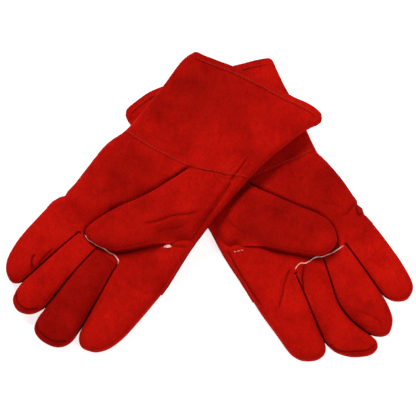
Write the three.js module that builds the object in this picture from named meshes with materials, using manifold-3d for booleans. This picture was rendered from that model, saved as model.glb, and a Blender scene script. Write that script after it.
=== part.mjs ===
// A pair of lined leather welding gauntlets lying palm up, the left glove's cuff crossed over the right's.
// Each glove is sewn from panels: a palm and a back, a front and a back for each finger, a thumb that folds
// across the palm from its wing, and a flared cuff with a bound hem. Cotton lining stands inside every panel.
//
// Glove frame, in millimetres: u runs across the palm towards the thumb, v runs towards the fingertips from
// the knuckle line, and z is up from the surface that the pair lies on. It is the frame of a right glove.
import * as THREE from "three";
import { mergeVertices } from "three/addons/utils/BufferGeometryUtils.js";
import Module from "manifold-3d";

const wasm = await Module();
wasm.setup();

// Driving dimensions
const LEATHER = 1.6; // thickness of the split cowhide
const LINING = 1.2; // thickness of the cotton lining
const CLEAR = 0.7; // room between a panel and its neighbour
const FOLD = 0.5; // half of the gap at a line where the glove folds
const WELT = 1.0; // thickness of the welt strips sewn into the side seams
const WELT_PROUD = 0.8; // how far a side welt stands out of its seam
const WELT_DEEP = 1.4; // how far it reaches in
const OVERCUT = 2; // how far a cutter runs past the end that it opens
const SEAM_OVERCUT = 1; // how far a panel's hollow runs past the panel's seam
const HEM_WIDTH = 8;
const HEM_EXTRA = 0.9; // the hem is a folded edge, so it is thicker than the cuff
const MERGE = 1e-4; // corners closer than this are one point

// Heights above the surface
const SEAM = 10; // the seam between a front panel and a back panel
const HAND_TOP = 24;
const WRIST_TOP = 22;
const HEM_TOP = 19;
const FINGER_SEAM = SEAM - 0.5;
const FINGER_TOP = HAND_TOP - 2; // at the last row before the tip
const THUMB = { bottom: 26.3, seam: 30, top: 41.5 };
const THUMB_TAPER = 0.04; // share of its thickness that the thumb loses from one row to the next

// Shape of a section: 2 is an ellipse, and more is a flatter slab with rounder sides
const SLAB = 3.6;
const ROUND = 2.4;
const SLAB_SIDES = 8;
const ROUND_SIDES = 6;
const CROWN_CUT = 1.05; // above 1, a slab's crown and underside are cut flat
const TIP_STEPS = [0.45, 0.75, 0.93, 1]; // stations of a rounded tip, as shares of its length
const TIP_POWER = 2.5;
const TIP_END = 0.04; // share of the width that the blunt end keeps
const TIP_CROWN = 0.7; // below 1, a tip keeps its height longer than its width
const HOLLOW_END = 5; // how far the hollow of a digit stops short of its tip
const LINING_END = 3; // and the lining
const LINING_HOLLOW_END = 9;
const HAND_STEPS = 6;
const CUFF_STEPS = 5;

// The wing that joins the thumb to the palm, from the wrist to the thumb's fold: share of the way, base, top
const WING_ROWS = [
  [0, SEAM + 1.2, SEAM + 4],
  [0.15, SEAM + 6, 20],
  [0.35, 21, 25],
  [0.6, 25, 31.5],
  [0.8, 25.4, 37],
  [1, 25.6, THUMB.top - 0.5],
];
const WING_WRIST = 0.62; // where the wing's inner edge leaves the wrist line, as a share of the line
const WING_SIDE = 24; // how far up the side seam from the thumb's root the wing ends
const WING_INSET = 1; // from the side seam
const WING_START = 3; // from the wrist line
const HOLE_MARGIN = 1; // room round the wing where the palm is cut away
const HOLE_OUTWARD = 6; // how far the cut runs out through the side seam

const FINGER_WELT = { radius: 0.9, sides: 6, above: 0.3 };

// The left glove drapes over the right one: it rises from the surface to its full lift between these
// distances from the line where it crosses the right glove's edge.
const LIFT = { height: 26, from: -95, to: 30, line: [70, -85], normal: [0.318, -0.948] };

const KNUCKLE = 3.5; // where the fingers fold
const THUMB_HINGE = 20; // how far along its own axis the thumb folds off its wing

// Where each glove lies, and the outline that its pose gives it. Side edges and folds are [u, v] points.
// Digits are rows of [distance along, centre line, half-width], and then the tip's [distance, centre line].
const GLOVES = [
  {
    side: "left",
    at: [-105.2, -47.6],
    turn: 143.1,
    mirrored: true,
    draped: true,
    little_edge: [[-64, -117], [-69, -91], [-71, -60], [-74, -30], [-79, 0]],
    thumb_edge: [[69, -143], [70, -108], [70, -72], [71, -36], [71, 0]],
    hem: { little: [-57, -222], thumb: [95, -248] },
    fingers: {
      little: { rows: [[KNUCKLE, -59.2, 19.9], [26, -60.6, 21.3], [60, -65.3, 16.2]], tip: [82, -65] },
      ring: { rows: [[KNUCKLE, -25.7, 12.6], [26, -25.7, 12.6], [76, -34, 16.4]], tip: [102, -35] },
      middle: { rows: [[KNUCKLE, 2.5, 14.5], [26, 2.5, 14.5], [84, 5, 21]], tip: [112, 6] },
      index: { rows: [[KNUCKLE, 44.4, 26.4], [26, 44.2, 26.2], [68, 46.3, 21.3]], tip: [92, 46] },
    },
    thumb: { rows: [[THUMB_HINGE, 5.5, 27], [50, 2.5, 23.5], [76, 1.5, 19]], tip: [98, -3] },
    welt: [[-37, -3.4], [-24, -3], [-8, -2.6], [4, -3], [13, -3.6]],
  },
  {
    side: "right",
    at: [108.3, -58.1],
    turn: -146,
    mirrored: false,
    draped: false,
    little_edge: [[-74, -94], [-76, -72], [-76, -48], [-76, -22], [-77.5, 0]],
    thumb_edge: [[69, -122], [68, -90], [71, -58], [72, -26], [73, 0]],
    hem: { little: [-92, -205], thumb: [71, -243] },
    fingers: {
      little: { rows: [[KNUCKLE, -59.4, 18.2], [35, -59.9, 18.2], [62, -60.4, 17.4]], tip: [87, -58] },
      ring: {
        rows: [[KNUCKLE, -25.4, 14.8], [22, -25.4, 14.8], [50, -21, 19.4], [76, -21.6, 17.9]],
        tip: [104, -24],
      },
      middle: {
        rows: [[KNUCKLE, 6, 15.4], [22, 6.2, 15.6], [50, 14, 14.4], [66, 17.5, 16], [88, 13.5, 18.5]],
        tip: [113, 5],
      },
      index: { rows: [[KNUCKLE, 48, 25.3], [22, 48.3, 25.3], [58, 52.3, 20.1]], tip: [85, 57] },
    },
    thumb: { rows: [[THUMB_HINGE, -1.5, 28], [53, -5, 24.5], [76, -7, 22]], tip: [98, -9] },
    welt: [[-39, -3.6], [-26, -3], [-10, -2.6], [4, -3], [19, -3.8]],
  },
];

// The thumb's own axis in the glove frame: it crosses the palm from the wing towards the ring finger
const THUMB_ROOT = [33, -82];
const THUMB_ALONG = [-0.557, 0.831];
const THUMB_ACROSS = [0.831, 0.557];

// Red split leather, undyed welt and cotton
const leather = new THREE.MeshStandardMaterial({ color: 0xb01009, roughness: 0.95, metalness: 0 });
const hem_leather = new THREE.MeshStandardMaterial({ color: 0xb8140b, roughness: 0.95, metalness: 0 });
const welt_leather = new THREE.MeshStandardMaterial({ color: 0xe0a79c, roughness: 0.9, metalness: 0 });
const side_welt = new THREE.MeshStandardMaterial({ color: 0x8f0c07, roughness: 0.95, metalness: 0 });
const cotton = new THREE.MeshStandardMaterial({ color: 0xe8e0d0, roughness: 1, metalness: 0 });

let draping = false; // whether the solids being made belong to the glove that drapes over the other

const mix = (a, b, t) => a + (b - a) * t;
const mixPoint = (a, b, t) => [mix(a[0], b[0], t), mix(a[1], b[1], t)];

function smooth(from, to, x) {
  const t = Math.min(1, Math.max(0, (x - from) / (to - from)));
  return t * t * (3 - 2 * t);
}

// A point of the draped glove, lifted off the surface over the other glove.
function lifted(p) {
  const s = (p.x - LIFT.line[0]) * LIFT.normal[0] + (p.y - LIFT.line[1]) * LIFT.normal[1];
  return new THREE.Vector3(p.x, p.y, p.z + LIFT.height * smooth(LIFT.from, LIFT.to, s));
}

// A point that far along a polyline, with t from 0 to 1.
function along(points, t) {
  const x = t * (points.length - 1);
  const i = Math.min(points.length - 2, Math.floor(x));
  return mixPoint(points[i], points[i + 1], x - i);
}

// One station of a soft tube: a line from its little-finger side to its thumb side, and the heights there.
function station(low, high, seam, top, bottom, power) {
  return { low, high, seam, top, bottom, power };
}

// The station's line with both ends drawn in.
function drawnIn(s, inset) {
  const length = Math.hypot(s.high[0] - s.low[0], s.high[1] - s.low[1]);
  const t = Math.min(0.49, inset / length);
  return [mixPoint(s.low, s.high, t), mixPoint(s.high, s.low, t)];
}

// Points of an arch from one end of a station to the other, from its base height to its crown.
function arch(s, inset, base, crown, sides) {
  const [a, b] = drawnIn(s, inset);
  return Array.from({ length: sides + 1 }, (_, k) => {
    const angle = Math.PI * (1 - k / sides);
    const c = Math.cos(angle);
    const across = Math.sign(c) * Math.abs(c) ** (2 / s.power);
    const [u, v] = mixPoint(a, b, (across + 1) / 2);
    const rise = CROWN_CUT * Math.max(0, Math.sin(angle)) ** (2 / s.power);
    return new THREE.Vector3(u, v, mix(base, crown, Math.min(1, rise)));
  });
}

// Loops for one half of a tube: the front is above the seam and the back is below it.
function halfLoops(stations, front, inset, gap, sides, overcut) {
  return stations.map((s) => {
    const sign = front ? 1 : -1;
    const base = s.seam + sign * (gap - overcut);
    const loop = arch(s, inset, base, front ? s.top - inset : s.bottom + inset, sides);
    return front ? loop : loop.reverse();
  });
}

// Loops that run all the way round a tube.
function fullLoops(stations, inset, sides) {
  return stations.map((s) => {
    const over = arch(s, inset, s.seam, s.top - inset, sides);
    const under = arch(s, inset, s.seam, s.bottom + inset, sides);
    return [...over, ...under.reverse().slice(1, -1)];
  });
}

// A solid skinned over loops that all have the same number of points, and closed at both ends. The loops of a
// strip run along its outside and back along its inside, with that many sides each way.
function loft(rawLoops, stripSides = 0) {
  const loops = draping ? rawLoops.map((loop) => loop.map(lifted)) : rawLoops;
  const n = loops[0].length;
  const positions = [];
  const face = (a, b, c) => positions.push(...a.toArray(), ...b.toArray(), ...c.toArray());
  for (let i = 0; i + 1 < loops.length; i++) {
    for (let k = 0; k < n; k++) {
      const m = (k + 1) % n;
      face(loops[i][k], loops[i][m], loops[i + 1][m]);
      face(loops[i][k], loops[i + 1][m], loops[i + 1][k]);
    }
  }
  for (const end of [loops[0].toReversed(), loops.at(-1)]) {
    if (stripSides) {
      for (let k = 0; k < stripSides; k++) {
        face(end[k], end[k + 1], end[n - 1 - k]);
        face(end[k + 1], end[n - 2 - k], end[n - 1 - k]);
      }
    } else {
      const centre = end.reduce((sum, p) => sum.add(p), new THREE.Vector3()).divideScalar(n);
      for (let k = 0; k < n; k++) face(centre, end[k], end[(k + 1) % n]);
    }
  }
  return solidOf(positions);
}

// A manifold-3d solid from triangle corners, turned to face out.
function solidOf(positions) {
  const geometry = new THREE.BufferGeometry();
  geometry.setAttribute("position", new THREE.Float32BufferAttribute(positions, 3));
  const merged = mergeVertices(geometry, MERGE);
  const make = (triVerts) =>
    new wasm.Manifold(
      new wasm.Mesh({ numProp: 3, vertProperties: merged.attributes.position.array, triVerts }),
    );
  const solid = make(new Uint32Array(merged.index.array));
  return solid.volume() > 0 ? solid : make(new Uint32Array(merged.index.array).reverse());
}

// A vertical prism over a polygon of [u, v] points, used to cut.
function prism(points, low, high) {
  const ring = (z) => points.map(([u, v]) => new THREE.Vector3(u, v, z));
  return loft([ring(low), ring(high)]);
}

function geometryOf(solid) {
  const mesh = solid.getMesh();
  const geometry = new THREE.BufferGeometry();
  geometry.setAttribute("position", new THREE.BufferAttribute(new Float32Array(mesh.vertProperties), 3));
  geometry.setIndex(new THREE.BufferAttribute(new Uint32Array(mesh.triVerts), 1));
  geometry.computeVertexNormals();
  return geometry;
}

// A station a little past the end of a tube, for a cutter that opens that end.
function pastEnd(end, next) {
  const t = 1 + OVERCUT / Math.hypot(end.low[0] - next.low[0], end.low[1] - next.low[1]);
  return { ...end, low: mixPoint(next.low, end.low, t), high: mixPoint(next.high, end.high, t) };
}

const openedFirst = (stations) => [pastEnd(stations[0], stations[1]), ...stations];
const openedLast = (stations) => [...stations, pastEnd(stations.at(-1), stations.at(-2))];
const openedBoth = (stations) => openedFirst(openedLast(stations));

// The same tube with its closed end left short by that distance, for the hollow of a finger.
const shortened = (stations, by) => stations.filter((s) => s.reach <= 1 - by / s.length);

// A leather panel: half of the tube, with the hollow cut out of it.
function panel(stations, hollow, front, sides, gap) {
  const outside = loft(halfLoops(stations, front, 0, gap, sides, 0));
  const inside = loft(halfLoops(hollow, front, LEATHER, gap, sides, SEAM_OVERCUT));
  return outside.subtract(inside);
}

// A bent strip: the same arches outside and inside, joined along both edges and both ends.
function strip(stations, thickness, sides) {
  const arches = (inset) => stations.map((s) => arch(s, inset, s.seam, s.top - inset, sides));
  const outside = arches(0);
  const inside = arches(thickness);
  const bands = outside.map((loop, i) => [...loop, ...inside[i].reverse()]);
  return loft(bands, sides);
}

// The lining: a whole tube that stands just inside both panels.
function liner(stations, hollow, sides) {
  const outside = loft(fullLoops(stations, LEATHER + CLEAR, sides));
  const inside = loft(fullLoops(hollow, LEATHER + CLEAR + LINING, sides));
  return outside.subtract(inside);
}

// Stations of the hand, from the wrist to the knuckles.
function handStations(glove) {
  return Array.from({ length: HAND_STEPS + 1 }, (_, i) => {
    const t = i / HAND_STEPS;
    const low = along(glove.little_edge, t);
    const high = along(glove.thumb_edge, t);
    const shift = i === 0 ? FOLD : i === HAND_STEPS ? KNUCKLE - FOLD : 0;
    const top = mix(WRIST_TOP, HAND_TOP, smooth(0, 0.5, t));
    return station([low[0], low[1] + shift], [high[0], high[1] + shift], SEAM, top, 0, SLAB);
  });
}

// Stations of the cuff, from just past the wrist fold to a share of the way to the mouth.
function cuffStations(glove, from, to, steps) {
  const [wristLow, wristHigh] = [glove.little_edge[0], glove.thumb_edge[0]];
  return Array.from({ length: steps + 1 }, (_, i) => {
    const t = mix(from, to, i / steps);
    const top = mix(WRIST_TOP, HEM_TOP, t);
    const seam = mix(SEAM, HEM_TOP / 2, t);
    const low = mixPoint(wristLow, glove.hem.little, t);
    const high = mixPoint(wristHigh, glove.hem.thumb, t);
    return station(low, high, seam, top, 0, SLAB);
  });
}

// How wide a digit still is at that share of the way from its last row to its blunt tip.
const tipFall = (x) => Math.max(TIP_END, 1 - x ** TIP_POWER) ** (1 / TIP_POWER);

// Stations of a finger: its rows, and then a rounded tip.
function fingerStations(spec) {
  const last = spec.rows[spec.rows.length - 1];
  const row = (v, centre, half, top) => ({
    ...station([centre - half, v], [centre + half, v], FINGER_SEAM, top, 0, ROUND),
    length: spec.tip[0],
    reach: v / spec.tip[0],
  });
  const made = spec.rows.map(([v, centre, half], i) =>
    row(i === 0 ? v + FOLD : v, centre, half, mix(HAND_TOP, FINGER_TOP, v / last[0])),
  );
  for (const x of TIP_STEPS) {
    const fall = tipFall(x);
    const v = mix(last[0], spec.tip[0], x);
    const top = mix(SEAM, FINGER_TOP, fall ** TIP_CROWN);
    made.push(row(v, mix(last[1], spec.tip[1], x), last[2] * fall, top));
  }
  return made;
}

const thumbPoint = (p, q) => [
  THUMB_ROOT[0] + p * THUMB_ALONG[0] + q * THUMB_ACROSS[0],
  THUMB_ROOT[1] + p * THUMB_ALONG[1] + q * THUMB_ACROSS[1],
];

// Stations of the thumb's free part, from its fold to its tip.
function thumbStations(spec) {
  const last = spec.rows[spec.rows.length - 1];
  const row = (p, centre, half, fall) => ({
    ...station(
      thumbPoint(p, centre - half),
      thumbPoint(p, centre + half),
      THUMB.seam,
      mix(THUMB.seam, THUMB.top, fall),
      mix(THUMB.seam, THUMB.bottom, fall),
      ROUND,
    ),
    length: spec.tip[0] - THUMB_HINGE,
    reach: (p - THUMB_HINGE) / (spec.tip[0] - THUMB_HINGE),
  });
  const made = spec.rows.map(([p, centre, half], i) =>
    row(i === 0 ? p + FOLD : p, centre, half, 1 - THUMB_TAPER * i),
  );
  const lastFall = 1 - THUMB_TAPER * (spec.rows.length - 1);
  for (const x of TIP_STEPS) {
    const fall = tipFall(x);
    const p = mix(last[0], spec.tip[0], x);
    made.push(row(p, mix(last[1], spec.tip[1], x), last[2] * fall, lastFall * fall ** TIP_CROWN));
  }
  return made;
}

// Stations of the wing, the raised leather between the side seam and the thumb's fold.
function wingStations(glove) {
  const [, centre, half] = glove.thumb.rows[0];
  const wrist = [glove.thumb_edge[0][0] - WING_INSET, glove.thumb_edge[0][1] + WING_START - WING_INSET];
  const [creaseU, creaseV] = mixPoint(glove.little_edge[0], glove.thumb_edge[0], WING_WRIST);
  const side = [glove.thumb_edge[2][0] - WING_INSET, THUMB_ROOT[1] + WING_SIDE];
  const foldLow = thumbPoint(THUMB_HINGE - FOLD, centre - half);
  const foldHigh = thumbPoint(THUMB_HINGE - FOLD, centre + half);
  return WING_ROWS.map(([t, base, top]) => {
    const low = along([wrist, [creaseU, creaseV + WING_START], foldLow], t);
    return station(low, mixPoint(side, foldHigh, t), base, top, base, ROUND);
  });
}

// The outline of the wing as seen from above, a little larger than the wing, where the palm is cut away.
function wingHole(stations) {
  const first = stations[0];
  const grow = stations.map((s) => {
    const length = Math.hypot(s.high[0] - s.low[0], s.high[1] - s.low[1]);
    const over = HOLE_MARGIN / length;
    return { low: mixPoint(s.high, s.low, 1 + over), high: mixPoint(s.low, s.high, 1 + over) };
  });
  grow[0].low = [first.low[0] + HOLE_OUTWARD, grow[0].low[1]];
  grow[0].high = [first.high[0] + HOLE_OUTWARD, grow[0].high[1]];
  return [...grow.map((g) => g.low), ...grow.map((g) => g.high).reverse()];
}

// A strip of leather welt between the palm and the back along one side seam.
function sideWelt(stations, thumbSide) {
  const loops = stations.map((s) => {
    const length = Math.hypot(s.high[0] - s.low[0], s.high[1] - s.low[1]);
    const [near, far] = thumbSide ? [s.high, s.low] : [s.low, s.high];
    const out = mixPoint(near, far, -WELT_PROUD / length);
    const into = mixPoint(near, far, WELT_DEEP / length);
    const corner = (p, up) => new THREE.Vector3(p[0], p[1], s.seam + (up * WELT) / 2);
    return [corner(out, -1), corner(out, 1), corner(into, 1), corner(into, -1)];
  });
  return loft(loops);
}

// The undyed welt that shows across the base of the middle and ring fingers.
function fingerWelt(points) {
  const { radius, sides, above } = FINGER_WELT;
  const path = points.map(([u, v]) => new THREE.Vector3(u, v, HAND_TOP + above + radius));
  const loops = path.map((p) =>
    Array.from({ length: sides }, (_, k) => {
      const angle = (2 * Math.PI * k) / sides;
      return new THREE.Vector3(p.x, p.y + radius * Math.cos(angle), p.z + radius * Math.sin(angle));
    }),
  );
  return loft(loops);
}

function gloveGroup(glove) {
  draping = glove.draped;
  const group = new THREE.Group();
  group.position.set(glove.at[0], glove.at[1], 0);
  group.rotation.z = THREE.MathUtils.degToRad(glove.turn);
  if (glove.mirrored) group.scale.x = -1;
  const add = (name, solid, material) => {
    const mesh = new THREE.Mesh(geometryOf(solid), material);
    mesh.name = `${glove.side}_${name}`;
    group.add(mesh);
  };
  const addDigit = (digit, rows) => {
    const hollow = openedFirst(shortened(rows, HOLLOW_END));
    const liningHollow = openedFirst(shortened(rows, LINING_HOLLOW_END));
    const lining = liner(shortened(rows, LINING_END), liningHollow, ROUND_SIDES);
    add(`${digit}_front`, panel(rows, hollow, true, ROUND_SIDES, CLEAR / 2), leather);
    add(`${digit}_back`, panel(rows, hollow, false, ROUND_SIDES, CLEAR / 2), leather);
    add(`${digit}_lining`, lining, cotton);
  };

  // Hand
  const hand = handStations(glove);
  const handHollow = openedBoth(hand);
  const wing = wingStations(glove);
  const seamGap = WELT / 2 + CLEAR;
  const hole = prism(wingHole(wing), SEAM + 0.2, THUMB.top);
  add("palm_panel", panel(hand, handHollow, true, SLAB_SIDES, seamGap).subtract(hole), leather);
  add("back_panel", panel(hand, handHollow, false, SLAB_SIDES, seamGap), leather);
  add("hand_lining", liner(hand, handHollow, SLAB_SIDES).subtract(hole), cotton);
  add("side_welt_little", sideWelt(hand, false), side_welt);
  add("side_welt_thumb", sideWelt(hand, true), side_welt);
  add("finger_welt", fingerWelt(glove.welt), welt_leather);

  // Fingers
  for (const [finger, spec] of Object.entries(glove.fingers)) addDigit(finger, fingerStations(spec));

  // Thumb and its wing
  addDigit("thumb", thumbStations(glove.thumb));
  add("thumb_wing", strip(wing, LEATHER, ROUND_SIDES), leather);

  // Cuff
  const cuffLength = Math.hypot(
    glove.hem.little[0] - glove.little_edge[0][0],
    glove.hem.little[1] - glove.little_edge[0][1],
  );
  const start = FOLD / cuffLength;
  const hemStart = 1 - HEM_WIDTH / cuffLength;
  const cuff = cuffStations(glove, start, hemStart - CLEAR / cuffLength, CUFF_STEPS);
  const cuffHollow = openedBoth(cuff);
  add("cuff_front", panel(cuff, cuffHollow, true, SLAB_SIDES, CLEAR / 2), leather);
  add("cuff_back", panel(cuff, cuffHollow, false, SLAB_SIDES, CLEAR / 2), leather);
  add("cuff_lining", liner(cuff, cuffHollow, SLAB_SIDES), cotton);
  const hem = cuffStations(glove, hemStart, 1, 1);
  const hemHollow = openedBoth(hem);
  const hemWall = LEATHER + HEM_EXTRA;
  const hemInside = loft(fullLoops(hemHollow, hemWall, SLAB_SIDES));
  add("cuff_hem", loft(fullLoops(hem, 0, SLAB_SIDES)).subtract(hemInside), hem_leather);
  return group;
}

const pair = new THREE.Group();
for (const glove of GLOVES) pair.add(gloveGroup(glove));

export default pair;
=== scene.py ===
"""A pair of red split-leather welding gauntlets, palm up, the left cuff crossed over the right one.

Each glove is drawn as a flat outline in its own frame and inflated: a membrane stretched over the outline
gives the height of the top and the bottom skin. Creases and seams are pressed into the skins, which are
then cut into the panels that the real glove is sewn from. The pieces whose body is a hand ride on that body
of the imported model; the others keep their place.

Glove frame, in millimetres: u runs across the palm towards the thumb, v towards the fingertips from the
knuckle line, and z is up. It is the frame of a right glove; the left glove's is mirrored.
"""

import math

import bpy
import numpy as np
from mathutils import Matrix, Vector, bvhtree, geometry, kdtree, noise


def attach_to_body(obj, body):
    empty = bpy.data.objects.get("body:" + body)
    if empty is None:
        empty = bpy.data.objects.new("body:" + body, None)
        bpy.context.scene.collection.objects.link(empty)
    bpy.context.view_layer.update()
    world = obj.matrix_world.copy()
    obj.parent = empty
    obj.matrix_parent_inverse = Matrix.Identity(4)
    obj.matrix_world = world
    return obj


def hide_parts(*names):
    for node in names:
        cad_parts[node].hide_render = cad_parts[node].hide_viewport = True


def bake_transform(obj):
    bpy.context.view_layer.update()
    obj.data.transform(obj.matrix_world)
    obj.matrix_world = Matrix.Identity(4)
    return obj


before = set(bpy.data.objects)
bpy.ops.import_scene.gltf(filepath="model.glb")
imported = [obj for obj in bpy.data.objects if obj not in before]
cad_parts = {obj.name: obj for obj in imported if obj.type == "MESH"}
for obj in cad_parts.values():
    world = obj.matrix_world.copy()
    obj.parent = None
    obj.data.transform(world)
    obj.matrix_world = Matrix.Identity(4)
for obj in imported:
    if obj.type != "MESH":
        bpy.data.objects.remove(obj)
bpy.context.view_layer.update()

MM = 0.001

# ---------------------------------------------------------------- dimensions, in millimetres

SEAM = 10.0  # height of the side seams above the surface
KNUCKLE = 3.5  # where the fingers fold
PALM_TOP = 23.0
SPACING = 2.4  # between mesh points
RINGS = (0.35, 1.0, 2.0, 3.3)  # distances from the outline of the rows of points that round the edge
ROW_SLACK = 0.93  # a row's point that is nearer to the outline than this share of its distance is left out
ROW_SHARE = 0.866  # distance between the grid's rows, as a share of the spacing
EDGE_CLEAR = 0.8  # creases and guide lines stop this far from the outline
CREASE_STEP = 1.6  # between points along a crease
CREASE_SIDE = 0.9  # from a crease to the first row of points beside it
CREASE_FOOT = 0.8  # from the edge of a crease to the second row
CREASE_CELL = 0.8  # a square of this size holds one crease point
CREASE_GAP, ROW_GAP, GRID_GAP = 0.7, 0.3, 0.6 * SPACING  # from a new mesh point to the earlier ones
MEMBRANE = 9.0  # how far from an edge the skin reaches most of its height
LEATHER = 1.4
HEM_WIDTH = 7.0
HEM_THICK = 2.6
HEM_PROUD = 0.3  # the folded hem stands this far off the cuff
EDGE_HIGHLIGHT = 0.4  # how much lighter the painted highlight makes the leather along the pinned edges
EDGE_HIGHLIGHT_AT, EDGE_HIGHLIGHT_WIDTH = 1.1, 0.5
LINING_ROOM = 2.1  # from the outside of the leather to the lining
LINING_THICK = 1.0
LINING_EDGE = 1.9  # how far inside the outline the lining's side is
LINING_END = 2.5  # how far inside the mouth the lining ends
LINING_OPEN = 5.5  # the lining's side is open up to this far from the mouth
LINING_KEEP, THUMB_LINING_KEEP = 0.3, 0.4  # share of the lining's faces that is kept away from the places with a fine mesh
STITCH_PITCH, STITCH_LENGTH, STITCH_RADIUS = 3.4, 2.4, 0.3
SEAM_TO_STITCHES = 2.2  # from the cuff's seam to its row of stitches
FOLD = 0.75  # share of a crease's depth that the leather takes up
FADE_IN, FADE_OUT = 0.15, 0.8  # shares of a wrinkle's length between which it is at its full depth
RIDGE_SHARE, RIDGE_AWAY, RIDGE_WIDTH = 0.35, 2.3, 1.2  # a crease's side ridge: shares of its depth and width
DARK_FROM = 0.7  # wrinkles that are deeper than this have a painted shade line
LINE_WIDTH, LINE_SHARE = 0.8, 0.6  # a painted shade line's greatest width, and its share of the crease's
SLIT_REACH = 2.2  # an edge with the glove again this far outside it faces a slit
SLIT_CLOSE = 0.58  # how far each side of the cut between two fingers swells towards the other
SLIT_WIDTH, SLIT_DARK = 0.7, 0.8  # width and darkness of the painted shade along the slit between two fingers
SEAM_DENT = 0.7  # how far the cuff's seam draws the back in, so that its stitches stay off the floor
MOUTH_CLEAR = 1.1  # room under the hem for its own thickness
WELT_RADIUS, WELT_LUMPS = 0.95, 0.12  # side welts
WELT_INSET = 2.0  # the side welts stop this far from the cuff's seam and the knuckles
PALE_RADIUS, PALE_LUMPS = 0.62, 0.2  # the undyed welt
TUFT_STRANDS, TUFT_SPREAD, TUFT_WAVE, TUFT_RADIUS = 9, 0.9, 0.5, 0.35
HAND_SIDE = 55  # the hand's side seams are further than this from its middle line
OUTSIDE = 90  # past both sides of the hand
FAR = 200.0  # above or below every skin

# Waves of the leather: size, seed and height
HAND_WAVES = (34, 0, 1.2), (14, 5, 0.8)
THUMB_WAVES = (26, 18, 0.9), (12, 23, 0.5)

# The full height of the top skin changes from the palm's by these amounts, each between two values of v
CROWN_CHANGES = (-3.5, -110, -230), (-1.5, -20, -70), (0.8, 0, 40)

# The edge is higher between the roots of the fingers: between these values of u, and of v
ROOT_RISE = 10.5
ROOTS_LEFT, ROOTS_RIGHT = (-76, -56), (48, 66)
ROOTS_LOW, ROOTS_HIGH = (-14, 0), (14, 84)
ROOT_SLACK = 1.5  # how far below v = 0 a finger's outline still counts as its own

# Ends of a bend from the hand to the body that a joint turns; attach works them out but does not use them
CUFF_BEND = (2.5, -127, 40), (-4, -162, 40)
THUMB_BEND, THUMB_BEND_HEIGHT = (8, 36), 44  # along the thumb
FINGER_BEND, FINGER_BEND_HEIGHT = 22, 20  # from the knuckle on

# Where the linings keep a fine mesh: at the knuckles, near the cuff's seam and along the thumb
FINE_FINGER = KNUCKLE - 6, KNUCKLE + 28
FINE_CUFF = -168, -116
FINE_THUMB = 2, 42

# The left glove rises over the right one across this line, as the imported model's does
LIFT_HEIGHT, LIFT_FROM, LIFT_TO = 26.0, -95.0, 30.0
LIFT_LINE, LIFT_NORMAL = np.array([70.0, -85.0]), np.array([0.318, -0.948])

# The thumb's own axis in the glove frame
THUMB_ROOT = np.array([33.0, -82.0])
THUMB_ALONG = np.array([-0.557, 0.831])
THUMB_HINGE = 20.0
THUMB_GAP = 1.4  # how far outside the thumb's edge the palm is pressed in
THUMB_DENT = 2.2  # how deep the palm is pressed in under the thumb
THUMB_STEP = 4.0  # between points of the thumb's outline where the palm is pressed in
DENT_INNER, DENT_OUTER = (-2, 4), (-4, 2)  # the dent fades over these distances, inside the outline and out
THUMB_FLOOR, THUMB_EDGE_RISE, THUMB_TOP_RISE, THUMB_LOW_RISE = 23.6, 3.6, 15.5, 1.0
THUMB_REACH = 8.0  # the thumb's MEMBRANE
THUMB_OUTSIDE = 60  # past both sides of the thumb
THUMB_GROWS, THUMB_GROWS_OFF = (-42, 26), (0, 26)  # it rises along itself, and away from the sewn edge
THUMB_CALM = 0, 8  # its waves and creases fade in away from the sewn edge
WING_OUTER, WING_DROP = (48, 62), (0, 11)  # the wing's outer edge, and how far in it is drawn down
WING_PROUD = 1.5  # the wing's edge ends up this far above the side seam
THUMB_LEATHER = 0.6
THUMB_THIN, THUMB_UNDER = 0.25, 0.9  # least heights of the thumb's top above its edge, and of its back below
THUMB_HOLLOW = 7.0  # the thumb holds a lining where it is thicker than this

# A stitch: places along it, heights and radii, as shares of half its length and of its radius
STITCH_SHAPE = (-1, -0.5, 0.6), (-0.7, 0.35, 1), (0, 0.7, 1.1), (0.7, 0.35, 1), (1, -0.5, 0.6)

# Stage, in metres, and camera, in millimetres and degrees
FLOOR_SIZE, FLOOR_GREY, FLOOR_GLOW = 20.0, 0.55, 0.75
WORLD_LIGHT = 0.28
LIGHTS = ("key_light", (-0.5, 0.9, 1.3), 21, 0.45), ("fill_light", (1.0, -0.8, 1.5), 13, 0.8)
CAMERA_ELEVATION, CAMERA_AWAY, CAMERA_AIM = 80, 1250, (0.0, 0.0, 15)
SENSOR, VIEW_WIDTH = 36, 437
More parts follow.
